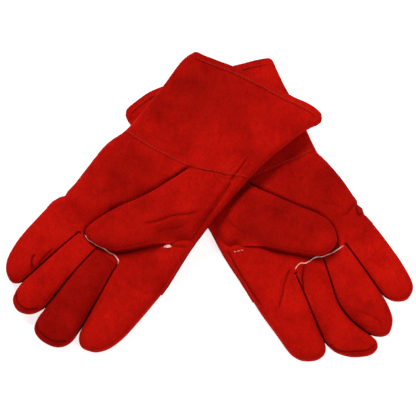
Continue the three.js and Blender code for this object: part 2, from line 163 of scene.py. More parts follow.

# Each glove. Runs are smooth lines of [u, v] points that meet in corners: the little finger's side, the ring
# finger, the middle finger, the index finger's side down to the cuff, and the mouth of the cuff. A crease is
# its kind, its depth and width, and its points: a wrinkle fades out at its ends, a fold does too and has no
# painted shade line, and a seam and a fine seam are even from end to end. A shading and dye patch is the
# share of the colour's brightness at its middle, its radius and its place: mostly painted shade, or painted
# light where it is brighter, with some of the dye's own unevenness. The fronts of the deep fingers get a
# shaded copy of the red suede, as painted shade where a finger lies low beside its neighbours.
LEFT = {
    "side": "left",
    "at": (-105.2, -47.6),
    "turn": 143.1,
    "mirrored": True,
    "seed": 3.0,
    "runs": {
        "little": [(-55, -221), (-59, -206), (-58, -170), (-59, -136), (-62, -112), (-70, -89), (-72, -60),
                   (-72.5, -38), (-73.6, -27), (-72.8, -21.5), (-76, -17.5), (-79.5, -9), (-80.5, 0),
                   (-82, 15), (-83.5, 35), (-83, 52), (-79.5, 69), (-72, 79.5), (-62, 84), (-54.5, 80),
                   (-51.6, 70), (-47.4, 50), (-42.2, 25), (-38.5, 8), (-36.8, 0)],
        "ring": [(-35.8, 0), (-37.5, 8), (-41.2, 25), (-46.4, 50), (-50.8, 70), (-52.5, 84), (-49.5, 97),
                 (-41, 103), (-32, 102.5), (-23.5, 97), (-18, 86), (-16.7, 70), (-16.1, 50), (-14.8, 30),
                 (-12.6, 10), (-11.5, 1)],
        "middle": [(-10.6, 1), (-11.6, 10), (-13.8, 30), (-15.1, 50), (-15.7, 70), (-16.4, 86), (-16.3, 97),
                   (-12.5, 108), (-4, 112.5), (7, 112.5), (17, 109.5), (24, 103), (27.2, 93), (26, 80),
                   (23.4, 60), (20.8, 40), (18, 20), (15.4, 1.5)],
        "index": [(16.3, 1.5), (19, 20), (21.8, 40), (24.4, 60), (27, 78), (30.5, 88), (38, 93.5), (47, 92),
                  (55, 87.5), (62.5, 77), (67, 62), (69, 45), (70.5, 20), (71.5, -8), (70, -30), (68.5, -56),
                  (69, -85), (70, -112), (73, -140), (77, -172), (84, -204), (90, -225), (96, -237),
                  (97.5, -242)],
        "hem": [(97.5, -242), (94, -246.5), (81, -248.5), (56, -244), (23, -239), (-9, -233.5),
                (-38, -225.5), (-50, -223.5), (-55, -221)],
    },
    "thumb": {
        "free": [(18.7, -119), (10, -96), (1.6, -76), (-9, -58), (-18.3, -43), (-27.8, -21), (-30.8, -7),
                 (-28, -1), (-20, 1), (-8, 0), (6.6, -5.5), (17, -15), (27, -26), (37.5, -37), (48, -45)],
        "sewn": [(48, -45), (58, -54), (66, -60), (67, -85), (67, -112), (64, -139), (49, -133),
                 (33, -125.5), (18.7, -119)],
    },
    "cuff_seam": [(-66, -110), (-27, -112), (2, -116.5), (18.7, -120), (33.6, -126), (49.5, -134),
                  (76, -148)],
    "creases": [
        ("wrinkle", 3.2, 2.4, [(13, -102), (15, -108), (17, -114), (19, -119)]),
        ("wrinkle", 1.5, 1.5, [(25, -121), (26, -113), (24, -104), (21, -98)]),
        ("fold", 2.0, 4.5, [(12, -108), (6, -90), (0, -76), (-8, -63), (-17, -50), (-26, -32), (-34, -12)]),
        ("wrinkle", 1.3, 1.3, [(-46, 30), (-48, 38), (-49, 46), (-49, 54)]),
        ("wrinkle", 1.7, 1.3, [(-57, 46), (-58, 51), (-54, 57), (-50, 60)]),
        ("seam", 1.0, 1.2, [(-49, 90), (-44, 95), (-37, 97.5), (-29, 96), (-22, 90)]),
        ("seam", 1.0, 1.2, [(-13, 101), (-7, 106), (5, 107), (15, 104.5), (22, 98)]),
        ("wrinkle", 0.9, 2.0, [(50, -134), (54, -144), (55, -157), (52, -166)]),
        ("wrinkle", 0.8, 1.8, [(64, -141), (66, -152), (64, -163)]),
        ("wrinkle", 1.2, 1.5, [(46, -44), (53, -46), (60, -50), (65, -54)]),
        ("wrinkle", 1.5, 1.4, [(58, -124), (60, -138), (60, -151), (59, -165)]),
        ("fold", 2.4, 3.6, [(11, -6), (14.5, 8), (16.5, 22), (19, 42), (22, 62), (24, 80)]),
        ("wrinkle", 0.8, 2.5, [(-52, -88), (-44, -74), (-40, -56), (-42, -40)]),
        ("wrinkle", 0.7, 2.2, [(-60, -60), (-52, -48), (-50, -30)]),
        ("wrinkle", 0.9, 2.0, [(-66, -6), (-56, -2), (-46, -3), (-38, -8)]),
        ("wrinkle", 0.8, 2.0, [(30, 8), (42, 12), (56, 11), (66, 6)]),
    ],
    "thumb_creases": [
        ("wrinkle", 1.4, 2.0, [(14, -43), (24, -53), (29, -60), (35, -68), (48, -81), (56, -93)]),
        ("wrinkle", 0.9, 1.8, [(30, -44), (36, -52), (44, -60), (52, -70)]),
        ("wrinkle", 0.9, 1.6, [(24, -114), (30, -104), (40, -96)]),
    ],
    "welt": [(-29, 0), (-22, 1), (-14, 0.5), (-5, -1), (4, -1.5), (11, -2), (15, -0.5), (17, 3)],
    "tuft": [(45, -40), (48, -41.5), (50.5, -43.5)],
    "crotch_stitches": [],
    # Patches of painted shade and painted light, with some of the dye's own unevenness
    "shading_and_dye_patches": [(0.7, 45, (-35, -185)), (0.85, 50, (0, -215)), (0.74, 42, (-34, -70)), (0.9, 35, (60, -10))],
    # Fingers whose fronts get the shaded copy of the red suede, as painted shade
    "deep": ("middle",),
}
RIGHT = {
    "side": "right",
    "at": (108.3, -58.1),
    "turn": -146.0,
    "mirrored": False,
    "seed": 11.0,
    "runs": {
        "little": [(-91, -204), (-86, -176), (-84, -160), (-77.5, -122), (-73, -95), (-75.5, -75),
                   (-77.2, -56), (-77, -37), (-77, -28), (-75, -24.5), (-77, -18), (-75, -12.5),
                   (-76.5, -5), (-78, 12), (-78.5, 35), (-78.3, 52), (-76, 73), (-70.6, 82.5), (-60, 86.6),
                   (-50, 82), (-44.5, 75), (-42.4, 66), (-41.7, 45), (-41, 20), (-40.5, 3)],
        "ring": [(-39.5, 3), (-40, 20), (-40.7, 45), (-41.4, 66), (-41.2, 76), (-39.5, 86), (-35.5, 96),
                 (-25.5, 104.6), (-16.2, 103.3), (-9, 96), (-4.4, 86), (-0.6, 72), (1.2, 58), (0.2, 46),
                 (-3.8, 32), (-8.9, 15), (-12.4, 2)],
        "middle": [(-11.4, 2), (-7.9, 15), (-2.8, 32), (1.2, 46), (2.2, 58), (0.5, 72), (-3.4, 86), (-8, 97),
                   (-9.5, 104), (-6, 110.5), (2.4, 112.5), (12, 109), (21.5, 103), (29, 95), (33.5, 87),
                   (35.2, 76), (32.5, 60), (28.5, 40), (24.5, 20), (20.6, -1)],
        "index": [(21.6, -1), (25.5, 20), (29.5, 40), (33.5, 60), (36.4, 76), (39.5, 82.5), (44, 85.5),
                  (51, 86), (58, 83.5), (66.3, 77.4), (71, 69), (72.6, 60), (72.9, 41), (73.8, 15), (73, -5),
                  (72.2, -24), (71.4, -58), (68, -90), (69, -121), (71, -150), (75, -200), (75, -234),
                  (73.5, -242)],
        "hem": [(73.5, -242), (66, -245.5), (38, -247), (10, -240), (-20, -230), (-52, -220.5),
                (-72, -213.5), (-86, -207.5), (-91, -204)],
    },
    "thumb": {
        "free": [(14, -118), (5, -98), (-4.3, -82), (-13, -68), (-22.2, -53.4), (-32, -39), (-37, -28),
                 (-38.2, -18.7), (-36, -9), (-30, -1.5), (-19.3, 1.4), (-10, -0.5), (-3.3, -5), (8, -16),
                 (20.4, -28), (32, -40), (43.9, -50)],
        "sewn": [(43.9, -50), (56, -57), (67, -62), (68, -80), (66, -100), (66, -121), (40, -119),
                 (14, -118)],
    },
    "cuff_seam": [(-78, -94), (-40, -101), (0, -108), (40, -116), (74, -123)],
    "creases": [
        ("fold", 1.6, 2.4, [(11, -112), (3, -96), (-6, -81), (-15, -67), (-25, -52), (-35, -37),
                            (-41, -22)]),
        ("wrinkle", 1.4, 1.6, [(20, -9), (30, -3), (38, 3), (45, 10), (52, 16), (58, 23)]),
        ("wrinkle", 0.9, 1.3, [(35, -4), (41, 2), (47, 9)]),
        ("wrinkle", 1.5, 1.2, [(-79, -26), (-75, -24.5), (-71, -21), (-69, -16), (-69, -10)]),
        ("wrinkle", 1.4, 1.1, [(-79, -14), (-75, -12.5), (-72, -13), (-67, -15)]),
        ("wrinkle", 1.2, 1.6, [(-75, -24), (-68, -25), (-60, -22), (-52, -24)]),
        ("wrinkle", 0.8, 1.8, [(-43, -47), (-54, -35), (-60, -22)]),
        ("wrinkle", 0.7, 2.0, [(-31, -65), (-38, -52), (-50, -36)]),
        ("wrinkle", 2.0, 1.8, [(7, -4), (13, 2), (19, 9), (23, 17), (27, 27)]),
        ("fold", 2.4, 3.2, [(21, 14), (24, 30), (28, 46), (31, 62), (32, 76)]),
        ("fold", 2.0, 3.0, [(-1, 54), (-2, 66), (-5, 80), (-10, 93)]),
        ("wrinkle", 1.0, 1.4, [(-5, 63), (-14, 74), (-20, 83), (-22, 92), (-17, 98)]),
        ("wrinkle", 0.9, 1.2, [(0, 70), (-5, 83), (-11, 90), (-17, 95)]),
        ("seam", 1.0, 1.2, [(33, 80), (31, 88), (24, 95), (16, 100), (5, 106), (-4, 106)]),
        ("wrinkle", 0.9, 1.6, [(-67, 30), (-66, 47), (-64, 62), (-61, 73)]),
        ("wrinkle", 0.8, 1.5, [(-70, -74), (-70, -58), (-71, -42)]),
        ("seam", 1.0, 1.1, [(66, -58), (67.5, -45), (68.5, -30), (69, -12), (69.5, 6)]),
        ("wrinkle", 0.8, 2.2, [(-60, -86), (-50, -80), (-36, -78)]),
        ("wrinkle", 0.8, 2.0, [(-66, 4), (-58, 8), (-48, 7)]),
    ],
    "thumb_creases": [
        ("wrinkle", 0.8, 2.0, [(-8, -52), (2, -62), (10, -76)]),
        ("wrinkle", 1.0, 1.8, [(40, -60), (46, -72), (50, -88)]),
    ],
    "welt": [(-37, 4), (-29, 3.6), (-20, 3.4), (-12, 1), (-4, -2.5), (6, -3), (12, -6.5), (19, -3.5)],
    "tuft": [],
    "crotch_stitches": [(62, -54.5), (52, -50.5)],
    # Patches of painted shade and painted light, with some of the dye's own unevenness
    "shading_and_dye_patches": [(0.76, 40, (-48, -58)), (0.78, 45, (12, -76)), (1.16, 45, (68, 30)), (1.2, 40, (-62, 45))],
    "deep": (),
}

# ---------------------------------------------------------------- small maths


def smooth(a, b, x):
    """0 at a and before it, 1 at b and past it, and an S curve between them."""
    t = np.clip((np.asarray(x, float) - a) / (b - a), 0, 1)
    return t * t * (3 - 2 * t)


def spline(points, step):
    """Points about a step apart on a smooth curve through the given ones."""
    p = np.array(points, float)
    ends = np.vstack([2 * p[0] - p[1], p, 2 * p[-1] - p[-2]])
    out = []
    for a, b, c, d in zip(ends, ends[1:], ends[2:], ends[3:]):
        count = max(1, round(np.linalg.norm(c - b) / step))
        t = (np.arange(count) / count)[:, None]
        bend = (2 * a - 5 * b + 4 * c - d) * t**2 + (3 * b - a - 3 * c + d) * t**3
        out.append(0.5 * (2 * b + (c - a) * t + bend))
    return np.vstack(out + [p[-1:]])


def sideways(line):
    """The unit normal to the left of a polyline at each of its points."""
    along = np.gradient(line, axis=0)
    normal = np.column_stack([-along[:, 1], along[:, 0]])
    return normal / np.linalg.norm(normal, axis=1)[:, None]


def distance_to(points, line):
    """Distance of each point from a polyline, and how far along it the nearest place is, from 0 to 1."""
    a, b = line[:-1], line[1:]
    d = b - a
    length = np.linalg.norm(d, axis=1)
    run = np.concatenate([[0], np.cumsum(length)])
    best = np.full(len(points), 1e9)
    where = np.zeros(len(points))
    for i in range(len(a)):
        t = np.clip((points - a[i]) @ d[i] / max(length[i] ** 2, 1e-9), 0, 1)
        gap = np.linalg.norm(points - a[i] - t[:, None] * d[i], axis=1)
        near = gap < best
        best[near], where[near] = gap[near], (run[i] + t * length[i])[near]
    return best, where / run[-1]


def inside(points, ring):
    """Which points lie inside a closed ring."""
    a, b = ring, np.roll(ring, -1, axis=0)
    result = np.zeros(len(points), bool)
    x, y = points[:, 0], points[:, 1]
    for (ax, ay), (bx, by) in zip(a, b):
        if ay != by:
            result ^= ((ay > y) != (by > y)) & (x < (bx - ax) * (y - ay) / (by - ay) + ax)
    return result


def tree_of(points):
    """A tree that finds the nearest of some flat points."""
    tree = kdtree.KDTree(len(points))
    for i, (x, y) in enumerate(points):
        tree.insert((x, y, 0), i)
    tree.balance()
    return tree


def clear_of(candidates, others, gap):
    """The candidates that have none of the others nearer than the gap."""
    tree = tree_of(others)
    return np.array([p for p in candidates if tree.find((p[0], p[1], 0))[2] >= gap]).reshape(-1, 2)


def lift_at(glove, uv):
    """How far the glove is raised where it lies over the other one."""
    if glove["side"] == "right":
        return np.zeros(len(uv))
    return LIFT_HEIGHT * smooth(LIFT_FROM, LIFT_TO, (uv - LIFT_LINE) @ LIFT_NORMAL)


def tone_at(glove, uv):
    """How bright the colour is: patches of painted shade and painted light, with some of the dye's own
    unevenness.
    """
    tone = np.ones(len(uv))
    for share, radius, place in glove["shading_and_dye_patches"]:
        tone *= 1 + (share - 1) * np.exp(-((np.linalg.norm(uv - place, axis=1) / radius) ** 2))
    return tone


def lumps(uv, size, seed):
    """Smooth random bumps about that many millimetres across, from -1 to 1."""
    return np.array([noise.noise(Vector((u / size, v / size, seed))) for u, v in uv]) * 1.6


def waves(glove, uv, kinds):
    """The leather's soft unevenness: lumps of several sizes, added up."""
    return sum(lumps(uv, size, glove["seed"] + seed) * height for size, seed, height in kinds)


def to_world(glove, uvz):
    """Glove frame in millimetres to the model's frame in metres."""
    t = math.radians(glove["turn"])
    x = -uvz[:, 0] if glove["mirrored"] else uvz[:, 0]
    out = np.empty_like(uvz)
    out[:, 0] = glove["at"][0] + math.cos(t) * x - math.sin(t) * uvz[:, 1]
    out[:, 1] = glove["at"][1] + math.sin(t) * x + math.cos(t) * uvz[:, 1]
    out[:, 2] = uvz[:, 2]
    return out * MM


def open_edges(tris):
    """The directed edges that only one triangle has."""
    edges = np.vstack([tris[:, [0, 1]], tris[:, [1, 2]], tris[:, [2, 0]]])
    _, index, count = np.unique(np.sort(edges, axis=1), axis=0, return_index=True, return_counts=True)
    return edges[index[count == 1]]


# ---------------------------------------------------------------- membranes


class Sheet:
    """A flat region meshed with triangles, and a membrane that is pinned along its closed edges."""

    def __init__(self, runs, free_run, creases, guides=(), reach=MEMBRANE):
        pieces = [spline(points, SPACING)[:-1] for points in runs.values()]
        self.ring = np.vstack(pieces)
        self.closed = np.vstack([self.ring, self.ring[:1]])
        self.inward = sideways(self.closed)[:-1]
        if inside(self.ring + self.inward * 0.1, self.ring).mean() < 0.5:
            self.inward = -self.inward
        self.mouth = spline(runs[free_run], SPACING)
        self.guides = guides
        free = np.concatenate([np.full(len(p), name == free_run) for name, p in zip(runs, pieces)])
        # Both ends of the free run belong to the pinned edge too
        pinned = ~free | np.roll(~free, 1)
        self.uv, self.tris = self._triangulate(creases)
        self.pinned = np.zeros(len(self.uv), bool)
        self.pinned[: len(self.ring)] = pinned
        self.fill = self._membrane(reach)
        self.edge_gap = self._edge_gap(pinned)

    def _edge_gap(self, pinned):
        """Distance of each point from the nearest pinned edge."""
        start = np.flatnonzero(pinned & ~np.roll(pinned, 1))[0] if not pinned.all() else 0
        line = np.roll(self.ring, -start, axis=0)[: pinned.sum()]
        return distance_to(self.uv, line)[0]

    def slit_at(self):
        """1 at points whose nearest edge faces another finger across a narrow slit, and 0 at others."""
        faces = inside(self.ring - self.inward * SLIT_REACH, self.ring).astype(float)
        faces = (np.roll(faces, 1) + 2 * faces + np.roll(faces, -1)) / 4
        tree = tree_of(self.ring)
        return faces[[tree.find((x, y, 0))[1] for x, y in self.uv]]

    def _rows(self):
        """Rows of points inside the outline and along it."""
        bands = []
        for offset in RINGS:
            band = self.ring + self.inward * offset
            band = band[inside(band, self.ring)]
            bands.append(band[distance_to(band, self.closed)[0] > offset * ROW_SLACK])
        return np.vstack(bands)

    def _crease_points(self, creases):
        """Points along each crease and to both sides of it, so that the mesh can hold it."""
        rows = []
        for _, _, width, points in creases:
            line = spline(points, CREASE_STEP)
            normal = sideways(line)
            foot = width + CREASE_FOOT
            rows += [line + normal * k for k in (0, CREASE_SIDE, -CREASE_SIDE, foot, -foot)]
        rows = np.vstack(rows)
        _, first = np.unique(np.round(rows / CREASE_CELL), axis=0, return_index=True)
        rows = rows[np.sort(first)]
        rows = rows[inside(rows, self.ring)]
        return rows[distance_to(rows, self.closed)[0] > EDGE_CLEAR]

    def _triangulate(self, creases):
        """Points and triangles of the sheet, with edges along the outline and the guide lines."""
        count = len(self.ring)
        fixed, edges = [self.ring], []
        for line in self.guides:
            held = inside(line, self.ring) & (distance_to(line, self.closed)[0] > EDGE_CLEAR)
            start = sum(map(len, fixed))
            fixed.append(line[held])
            gaps = np.linalg.norm(np.diff(line[held], axis=0), axis=1)
            edges += [(start + i, start + i + 1) for i, gap in enumerate(gaps) if gap < 2 * SPACING]
        fixed = np.vstack(fixed)
        low, high = self.ring.min(0), self.ring.max(0)
        rows = np.arange(low[1], high[1], SPACING * ROW_SHARE)
        columns = np.arange(low[0], high[0], SPACING)
        grid = np.array([(x + (i % 2) * SPACING / 2, y) for i, y in enumerate(rows) for x in columns])
        grid = grid[inside(grid, self.ring)]
        layers = (
            (self._crease_points(creases), CREASE_GAP),
            (self._rows(), ROW_GAP),
            (grid[distance_to(grid, self.closed)[0] > RINGS[-1] + SPACING / 2], GRID_GAP),
        )
        points = fixed
        for layer, gap in layers:
            points = np.vstack([points, clear_of(layer, points, gap)])
        ring = [list(range(count))]
        made = geometry.delaunay_2d_cdt([Vector(p) for p in points], edges, ring, 1, 1e-5)
        uv = np.array([tuple(p) for p in made[0]])
        tris = np.array([list(f) for f in made[2]])
        a, b, c = uv[tris[:, 0]], uv[tris[:, 1]], uv[tris[:, 2]]
        turn = (b - a)[:, 0] * (c - a)[:, 1] - (b - a)[:, 1] * (c - a)[:, 0]
        tris[turn < 0] = tris[turn < 0][:, ::-1]
        return uv, tris

    def _membrane(self, reach):
        """Solves the screened Poisson equation on the mesh: 0 at pinned points and 1 far inside."""
        n = len(self.uv)
        rows, columns, values = [], [], []
        for i, j, k in ((0, 1, 2), (1, 2, 0), (2, 0, 1)):
            p, q, r = (self.uv[self.tris[:, x]] for x in (i, j, k))
            dot = ((p - r) * (q - r)).sum(1)
            cross = np.abs((p - r)[:, 0] * (q - r)[:, 1] - (p - r)[:, 1] * (q - r)[:, 0])
            rows.append(self.tris[:, i])
            columns.append(self.tris[:, j])
            values.append(0.5 * dot / np.maximum(cross, 1e-9))
        rows, columns, values = map(np.concatenate, (rows, columns, values))
        values = np.clip(values, 1e-4, 20)
        area = np.zeros(n)
        a, b, c = (self.uv[self.tris[:, x]] for x in range(3))
        third = np.abs((b - a)[:, 0] * (c - a)[:, 1] - (b - a)[:, 1] * (c - a)[:, 0]) / 6
        for x in range(3):
            np.add.at(area, self.tris[:, x], third)
        mass = area / reach**2
        live = ~self.pinned

        def stiffness(x):
            x = np.where(live, x, 0)
            flow = values * (x[rows] - x[columns])
            y = mass * x + np.bincount(rows, flow, n) - np.bincount(columns, flow, n)
            return np.where(live, y, 0)

        x = np.zeros(n)
        residual = np.where(live, mass, 0)
        direction = residual.copy()
        size = residual @ residual
        for _ in range(600):
            moved = stiffness(direction)
            step = size / max(direction @ moved, 1e-30)
            x += step * direction
            residual -= step * moved
            new = residual @ residual
            if new < 1e-12 * n:
                break
            direction = residual + new / size * direction
            size = new
        return np.clip(x, 0, 1)


def swell(fill, power=2.1):
    """The membrane's height as a rounded profile: steep at the edge and flat inside."""
    return (1 - (1 - fill) ** power) ** (1 / power)


# How dark the painted shade line in a crease is, apart from a wrinkle's, which follows its depth
DARKNESS = {"fold": 0.0, "fine": 0.25, "seam": 0.75}


def press(uv, creases):
    """Height that the creases add, and how much painted shade each point gets in a groove, from 0 to 1."""
    height = np.zeros(len(uv))
    groove_shade = np.zeros(len(uv))
    for kind, depth, width, points in creases:
        away, place = distance_to(uv, spline(points, CREASE_STEP))
        fade = 1.0
        if kind in ("wrinkle", "fold"):
            fade = smooth(0, FADE_IN, place) * (1 - smooth(FADE_OUT, 1, place))
        dip = np.exp(-((away / width) ** 2)) * fade
        ridge = np.exp(-(((away - RIDGE_AWAY * width) / (RIDGE_WIDTH * width)) ** 2)) * fade
        height += FOLD * depth * (RIDGE_SHARE * ridge - dip)
        # The painted shade line along the bottom of the crease
        dark = DARKNESS.get(kind, min(1, max(0, depth - DARK_FROM)))
        line = np.exp(-((away / min(LINE_WIDTH, LINE_SHARE * width)) ** 2)) * fade
        groove_shade = np.maximum(groove_shade, line * dark)
    return height, groove_shade


class Skins:
    """The top and the bottom skin over one sheet, in the model's frame, sharing the sheet's pinned edge."""

    def __init__(self, glove, sheet, top, bottom, groove_shade):
        self.glove, self.sheet = glove, sheet
        raised = lift_at(glove, sheet.uv)
        count = len(sheet.uv)
        self.under = np.where(sheet.pinned, np.arange(count), np.arange(count) + count)
        heights = np.concatenate([top + raised, bottom + raised])
        self.points = to_world(glove, np.column_stack([np.vstack([sheet.uv] * 2), heights]))
        self.upper = sheet.tris[:, ::-1] if glove["mirrored"] else sheet.tris
        self.lower = self.under[self.upper[:, ::-1]]
        self.normals = vertex_normals(self.points, np.vstack([self.upper, self.lower]))
        # Painted shade in the creases, seams and slits; the bottom skin gets half of it
        self.groove_shade = np.concatenate([groove_shade, groove_shade / 2])
        # Painted highlight along the pinned edges, where a rolled edge catches the light
        edge_highlight = 1 + EDGE_HIGHLIGHT * np.exp(-(((sheet.edge_gap - EDGE_HIGHLIGHT_AT) / EDGE_HIGHLIGHT_WIDTH) ** 2))
        self.tone = np.tile(tone_at(glove, sheet.uv) * edge_highlight, 2)

    def cast(self, uv, above):
        """Where vertical lines meet the top skin or the bottom one, with the normals there."""
        tris = self.upper if above else self.lower
        tree = bvhtree.BVHTree.FromPolygons(self.points.tolist(), tris.tolist())
        start = to_world(self.glove, np.column_stack([uv, np.full(len(uv), FAR if above else -FAR)]))
        hits = [tree.ray_cast(Vector(p), Vector((0, 0, -1 if above else 1))) for p in start]
        return [(np.array(h[0]), np.array(h[1])) if h[0] is not None else None for h in hits]


def vertex_normals(points, tris):
    """The mean normal of each point's triangles, weighted by their areas."""
    a, b, c = points[tris[:, 0]], points[tris[:, 1]], points[tris[:, 2]]
    face = np.cross(b - a, c - a)
    total = np.zeros_like(points)
    for k in range(3):
        np.add.at(total, tris[:, k], face)
    return total / np.maximum(np.linalg.norm(total, axis=1)[:, None], 1e-12)


# ---------------------------------------------------------------- materials


def new_material(name):
    """A material with one Principled shader: itself, its node tree and the shader."""
    material = bpy.data.materials.new(name)
    material.use_nodes = True
    tree = material.node_tree
    tree.nodes.clear()
    out = tree.nodes.new("ShaderNodeOutputMaterial")
    shader = tree.nodes.new("ShaderNodeBsdfPrincipled")
    tree.links.new(shader.outputs["BSDF"], out.inputs["Surface"])
    return material, tree, shader


def coordinates(tree, stretch=(1, 1, 1)):
    """Object coordinates, which stay on a piece when it moves, stretched."""
    source = tree.nodes.new("ShaderNodeTexCoord").outputs["Object"]
    node = tree.nodes.new("ShaderNodeMapping")
    node.inputs["Scale"].default_value = stretch
    tree.links.new(source, node.inputs["Vector"])
    return node.outputs["Vector"]


def noise_node(tree, coords, size, detail=4.0, rough=0.55):
    """Noise whose features are about that many millimetres across."""
    node = tree.nodes.new("ShaderNodeTexNoise")
    node.inputs["Scale"].default_value = 1 / (size * MM)
    node.inputs["Detail"].default_value = detail
    node.inputs["Roughness"].default_value = rough
    tree.links.new(coords, node.inputs["Vector"])
    return node.outputs["Fac"]


def ramp_node(tree, fac, stops):
    """Colours at places from 0 to 1, and a smooth ramp between them."""
    node = tree.nodes.new("ShaderNodeValToRGB")
    ramp = node.color_ramp
    while len(ramp.elements) < len(stops):
        ramp.elements.new(0.5)
    for element, (place, color) in zip(ramp.elements, stops):
        element.position = place
        element.color = (*color, 1)
    tree.links.new(fac, node.inputs["Fac"])
    return node.outputs["Color"]


def mix_node(tree, fac, a, b, blend="MIX"):
    """Two colours mixed. Each input is a value or another node's output."""
    node = tree.nodes.new("ShaderNodeMix")
    node.data_type = "RGBA"
    node.blend_type = blend
    for socket, value in ((node.inputs["Factor"], fac), (node.inputs[6], a), (node.inputs[7], b)):
        if isinstance(value, (int, float, tuple)):
            socket.default_value = value
        else:
            tree.links.new(value, socket)
    return node.outputs[2]


def bump_node(tree, height, depth, strength, normal=None):
    """Bumps that many millimetres deep."""
    node = tree.nodes.new("ShaderNodeBump")
    node.inputs["Strength"].default_value = strength
    node.inputs["Distance"].default_value = depth * MM
    tree.links.new(height, node.inputs["Height"])
    if normal is not None:
        tree.links.new(normal, node.inputs["Normal"])
    return node.outputs["Normal"]


def attribute(tree, name):
    """A value that each point of the mesh carries."""
    node = tree.nodes.new("ShaderNodeAttribute")
    node.attribute_name = name
    return node.outputs["Fac"]


def grey(value):
    """A colour with the same red, green and blue."""
    return (value, value, value)


def suede(name, deep, mid, light):
    """Napped split leather: blotches of dye, brushed nap, painted shade in the grooves and slits, and no
    gloss.
    """
    material, tree, shader = new_material(name)
    coords = coordinates(tree)
    brushed = coordinates(tree, (1.0, 0.45, 1.0))
    blotch = noise_node(tree, coords, size=30)
    color = ramp_node(tree, blotch, ((0.3, deep), (0.5, mid), (0.72, light)))
    patch = noise_node(tree, brushed, size=5, rough=0.7)
    patch = ramp_node(tree, patch, ((0.33, grey(0.82)), (0.66, grey(1.08))))
    color = mix_node(tree, 0.6, color, patch, "MULTIPLY")
    fine = noise_node(tree, brushed, size=1.3, detail=3, rough=0.75)
    fine = ramp_node(tree, fine, ((0.34, grey(0.74)), (0.66, grey(1.16))))
    color = mix_node(tree, 0.75, color, fine, "MULTIPLY")
    # The tone attribute carries the dye's unevenness, patches of painted shade and painted light, and a
    # painted edge highlight
    color = mix_node(tree, 1.0, color, attribute(tree, "tone"), "MULTIPLY")
    # Painted shade: the creases, seams and slits are mixed towards near black
    shadow = tuple(0.08 * c for c in deep) + (1,)
    color = mix_node(tree, attribute(tree, "groove_shade"), color, shadow)
    tree.links.new(color, shader.inputs["Base Color"])
    shader.inputs["Roughness"].default_value = 1.0
    shader.inputs["Specular IOR Level"].default_value = 0.03
    nap = noise_node(tree, coords, size=0.9, detail=2, rough=0.6)
    nap = bump_node(tree, nap, depth=0.4, strength=0.45)
    grain = noise_node(tree, brushed, size=3.0, rough=0.65)
    grain = bump_node(tree, grain, depth=0.6, strength=0.35, normal=nap)
    tree.links.new(grain, shader.inputs["Normal"])
    return material


def pale_suede(name, base, stain):
    """Undyed leather that the red dye has bled into in places."""
    material, tree, shader = new_material(name)
    coords = coordinates(tree)
    bled = noise_node(tree, coords, size=9, detail=3, rough=0.6)
    color = ramp_node(tree, bled, ((0.42, base), (0.66, stain)))
    tree.links.new(color, shader.inputs["Base Color"])
    shader.inputs["Roughness"].default_value = 0.9
    shader.inputs["Specular IOR Level"].default_value = 0.1
    nap = noise_node(tree, coords, size=1.2, detail=3, rough=0.6)
    tree.links.new(bump_node(tree, nap, depth=0.4, strength=0.5), shader.inputs["Normal"])
    return material


def cotton(name, base, shade):
    """Brushed cotton fleece with a fine pile."""
    material, tree, shader = new_material(name)
    coords = coordinates(tree)
    worn = noise_node(tree, coords, size=7, detail=5, rough=0.7)
    color = ramp_node(tree, worn, ((0.3, shade), (0.65, base)))
    tree.links.new(color, shader.inputs["Base Color"])
    shader.inputs["Roughness"].default_value = 1.0
    shader.inputs["Sheen Weight"].default_value = 0.3
    pile = noise_node(tree, coords, size=1.1, detail=3, rough=0.7)
    tree.links.new(bump_node(tree, pile, depth=0.8, strength=0.8), shader.inputs["Normal"])
    return material


def thread(name, color):
    """Spun thread: a tight twist along each stitch."""
    material, tree, shader = new_material(name)
    twist = noise_node(tree, coordinates(tree), size=0.7, detail=2, rough=0.5)
    shaded = mix_node(tree, twist, tuple(0.6 * c for c in color) + (1,), color + (1,))
    tree.links.new(shaded, shader.inputs["Base Color"])
    shader.inputs["Roughness"].default_value = 0.75
    tree.links.new(bump_node(tree, twist, depth=0.3, strength=0.6), shader.inputs["Normal"])
    return material


def dyed(name, share):
    """Red suede whose colour is that share as bright as the plain red one's: a shaded or lit copy where the
    share is not 1.
    """
    tones = (0.34, 0.0032, 0.0016), (0.435, 0.0046, 0.002), (0.5, 0.0062, 0.0026)
    return suede(name, *(tuple(share * c for c in tone) for tone in tones))


RED = dyed("red_suede", 1.0)
# A shaded copy of the red suede: painted shade for a finger that lies low between its neighbours
SHADED_RED = dyed("shaded_red_suede", 0.72)
# A lit copy of the red suede: a painted highlight on the raised hem fold
LIT_HEM_RED = dyed("lit_hem_suede", 1.05)
WELT_RED = suede("welt_suede", (0.22, 0.002, 0.001), (0.38, 0.0035, 0.0014), (0.5, 0.006, 0.002))
PALE = pale_suede("pale_suede", (1.0, 0.62, 0.56), (0.8, 0.14, 0.1))
COTTON = cotton("cotton_fleece", (0.82, 0.77, 0.68), (0.6, 0.52, 0.42))
RED_THREAD = thread("red_thread", (0.5, 0.011, 0.0045))
PALE_THREAD = thread("pale_thread", (0.8, 0.62, 0.55))

# ---------------------------------------------------------------- building pieces


def make_object(name, vertices, faces, material, normals=None, groove_shade=None, tone=None):
    """A mesh object whose points carry how much painted shade their groove gets and how bright their colour
    is.
    """
    mesh = bpy.data.meshes.new(name)
    mesh.from_pydata(np.asarray(vertices).tolist(), [], [list(map(int, f)) for f in faces])
    mesh.materials.append(material)
    mesh.polygons.foreach_set("use_smooth", [True] * len(mesh.polygons))
    values = {"groove_shade": np.zeros(len(vertices)) if groove_shade is None else groove_shade,
              "tone": np.ones(len(vertices)) if tone is None else tone}
    for label, value in values.items():
        mesh.attributes.new(label, "FLOAT", "POINT").data.foreach_set("value", np.asarray(value, float))
    if normals is not None:
        mesh.normals_split_custom_set_from_vertices(np.asarray(normals).tolist())
    mesh.update()
    piece = bpy.data.objects.new(name, mesh)
    bpy.context.scene.collection.objects.link(piece)
    return piece


